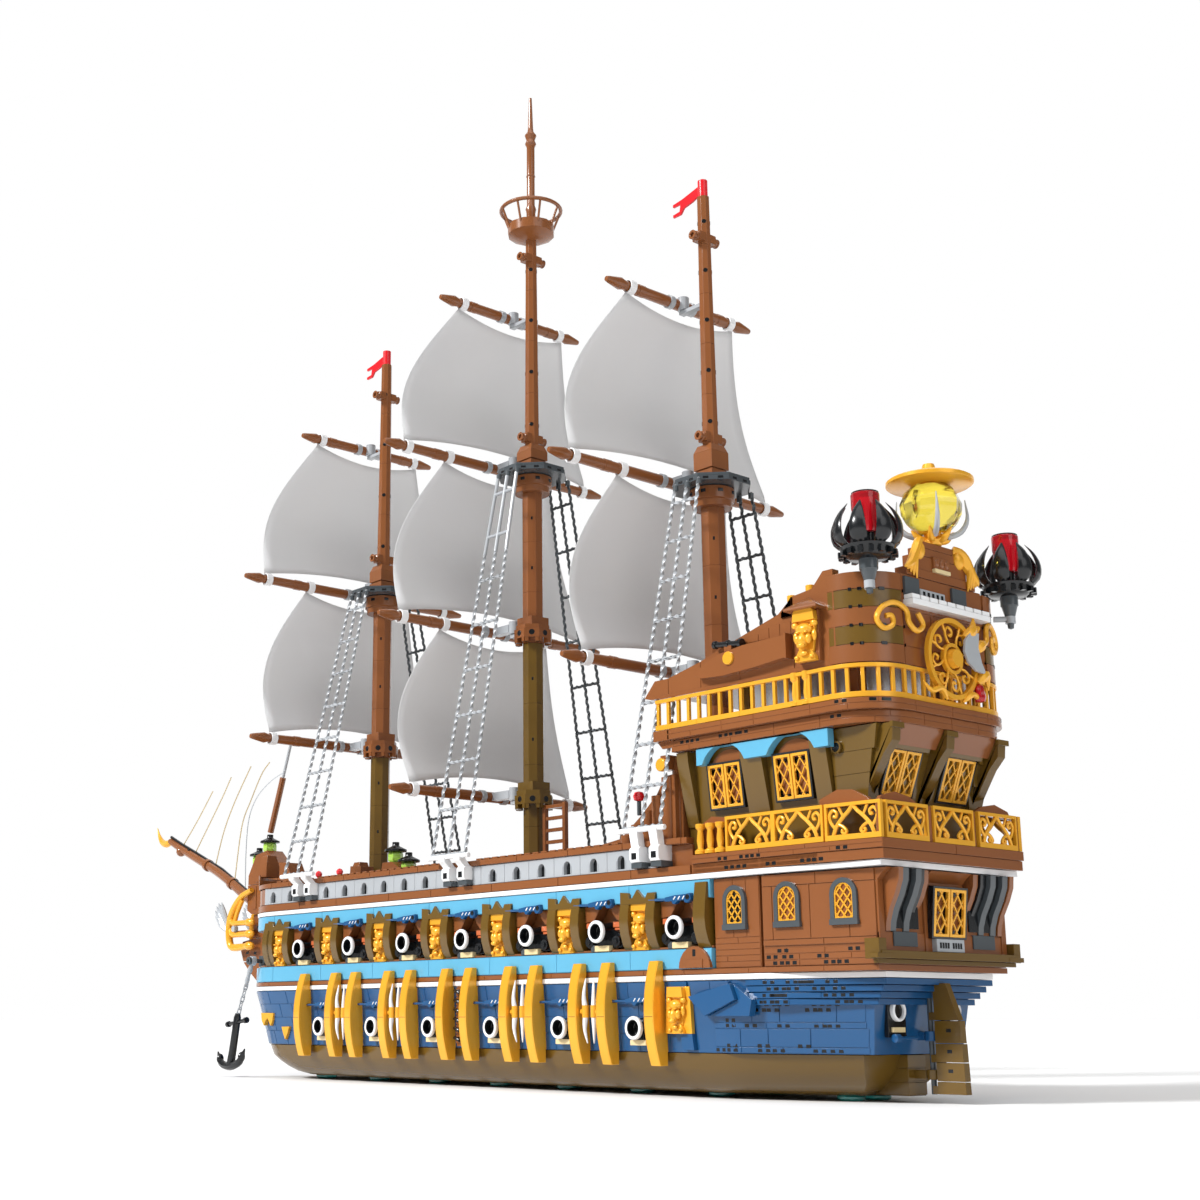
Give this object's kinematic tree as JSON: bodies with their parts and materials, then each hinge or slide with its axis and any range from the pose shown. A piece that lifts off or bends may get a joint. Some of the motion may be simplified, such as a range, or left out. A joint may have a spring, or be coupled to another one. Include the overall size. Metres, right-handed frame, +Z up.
{
  "type": "toy tall ship",
  "caption": "Brick-built toy galleon standing on small clear feet, with swinging yards and sails, a turning rudder and helm, and anchors on chains.",
  "frame": {"origin": "under the middle of the whole ship, at the level of its feet", "axes": "+X to the bow, +Y to port, +Z up"},
  "size_m": [0.8969, 0.2156, 0.7257],
  "materials": {
    "brown_plastic": "moulded plastic, glossy",
    "dark_tan_plastic": "moulded plastic, glossy",
    "blue_plastic": "moulded plastic, glossy",
    "light_blue_plastic": "moulded plastic, glossy",
    "gold_plastic": "moulded plastic, glossy",
    "white_plastic": "moulded plastic, glossy",
    "light_grey_plastic": "moulded plastic, glossy",
    "dark_grey_plastic": "moulded plastic, glossy",
    "black_plastic": "moulded plastic, glossy",
    "clear_yellow_plastic": "moulded plastic, glossy",
    "sail_film": "translucent matt film"
  },
  "bodies": {
    "ship": {"hull_bottom": "dark_tan_plastic", "hull_blue": "blue_plastic", "white_stripe_lower": "white_plastic", "brown_strake": "brown_plastic", "light_blue_strake_lower": "light_blue_plastic", "gun_deck": "brown_plastic", "gun_frames_port": "dark_tan_plastic", "gun_frames_starboard": "dark_tan_plastic", "light_blue_strake_upper": "light_blue_plastic", "white_stripe_upper": "white_plastic", "deck": "brown_plastic", "bulwark_panels_port": "light_grey_plastic", "bulwark_panels_starboard": "light_grey_plastic", "bulwark_rail": "brown_plastic", "stem": "brown_plastic", "bow_block": "brown_plastic", "bowsprit": "brown_plastic", "figurehead": "gold_plastic", "stern_wall": "brown_plastic", "balcony_floor": "brown_plastic", "balcony_fence": "gold_plastic", "upper_cabin": "dark_tan_plastic", "cabin_front": "brown_plastic", "valance_port": "light_blue_plastic", "valance_starboard": "light_blue_plastic", "gallery_floor": "brown_plastic", "gallery_fence": "gold_plastic", "poop": "brown_plastic", "stern_lantern": "clear_yellow_plastic", "side_lantern_port": "black_plastic", "side_lantern_starboard": "black_plastic", "filigree_disc": "gold_plastic", "helm_stand": "brown_plastic", "mast_fore": "brown_plastic", "mast_main": "brown_plastic", "mast_mizzen": "brown_plastic", "platform_fore": "dark_grey_plastic", "platform_main": "dark_grey_plastic", "platform_mizzen": "dark_grey_plastic"},
    "fore_yards": {"yard_fore_lower": "brown_plastic", "yard_fore_middle": "brown_plastic", "yard_fore_upper": "brown_plastic", "sail_fore_lower": "sail_film", "sail_fore_middle": "sail_film"},
    "main_yards": {"yard_main_lower": "brown_plastic", "yard_main_middle": "brown_plastic", "yard_main_topsail": "brown_plastic", "yard_main_upper": "brown_plastic", "sail_main_lower": "sail_film", "sail_main_middle": "sail_film", "sail_main_topsail": "sail_film"},
    "mizzen_yards": {"yard_mizzen_lower": "brown_plastic", "yard_mizzen_middle": "brown_plastic", "yard_mizzen_upper": "brown_plastic", "sail_mizzen_lower": "sail_film", "sail_mizzen_middle": "sail_film"},
    "rudder": {"rudder": "dark_tan_plastic"},
    "helm": {"helm_wheel": "gold_plastic"},
    "anchor_port": {"anchor_port": "black_plastic"},
    "anchor_starboard": {"anchor_starboard": "black_plastic"}
  },
  "joints": [
    {"name": "rudder_hinge", "type": "hinge", "parent": "ship", "child": "rudder", "pos_m": [-0.402, 0, 0.025], "axis": [0, 0, 1], "range_deg": [-30, 30]},
    {"name": "helm_turn", "type": "hinge", "parent": "ship", "child": "helm", "pos_m": [-0.322, 0, 0.2156], "axis": [1, 0, 0], "continuous": true},
    {"name": "fore_yards_swing", "type": "hinge", "parent": "ship", "child": "fore_yards", "pos_m": [0.1179, 0, 0.4], "axis": [0, 0, 1], "range_deg": [-15, 15]},
    {"name": "main_yards_swing", "type": "hinge", "parent": "ship", "child": "main_yards", "pos_m": [-0.0636, 0, 0.4], "axis": [0, 0, 1], "range_deg": [-15, 15]},
    {"name": "mizzen_yards_swing", "type": "hinge", "parent": "ship", "child": "mizzen_yards", "pos_m": [-0.2378, 0, 0.4], "axis": [0, 0, 1], "range_deg": [-15, 15]},
    {"name": "anchor_port_swing", "type": "hinge", "parent": "ship", "child": "anchor_port", "pos_m": [0.168, 0.066, 0.086], "axis": [0, 1, 0], "range_deg": [-45, 45]},
    {"name": "anchor_starboard_swing", "type": "hinge", "parent": "ship", "child": "anchor_starboard", "pos_m": [0.168, -0.066, 0.086], "axis": [0, 1, 0], "range_deg": [-45, 45]}
  ]
}
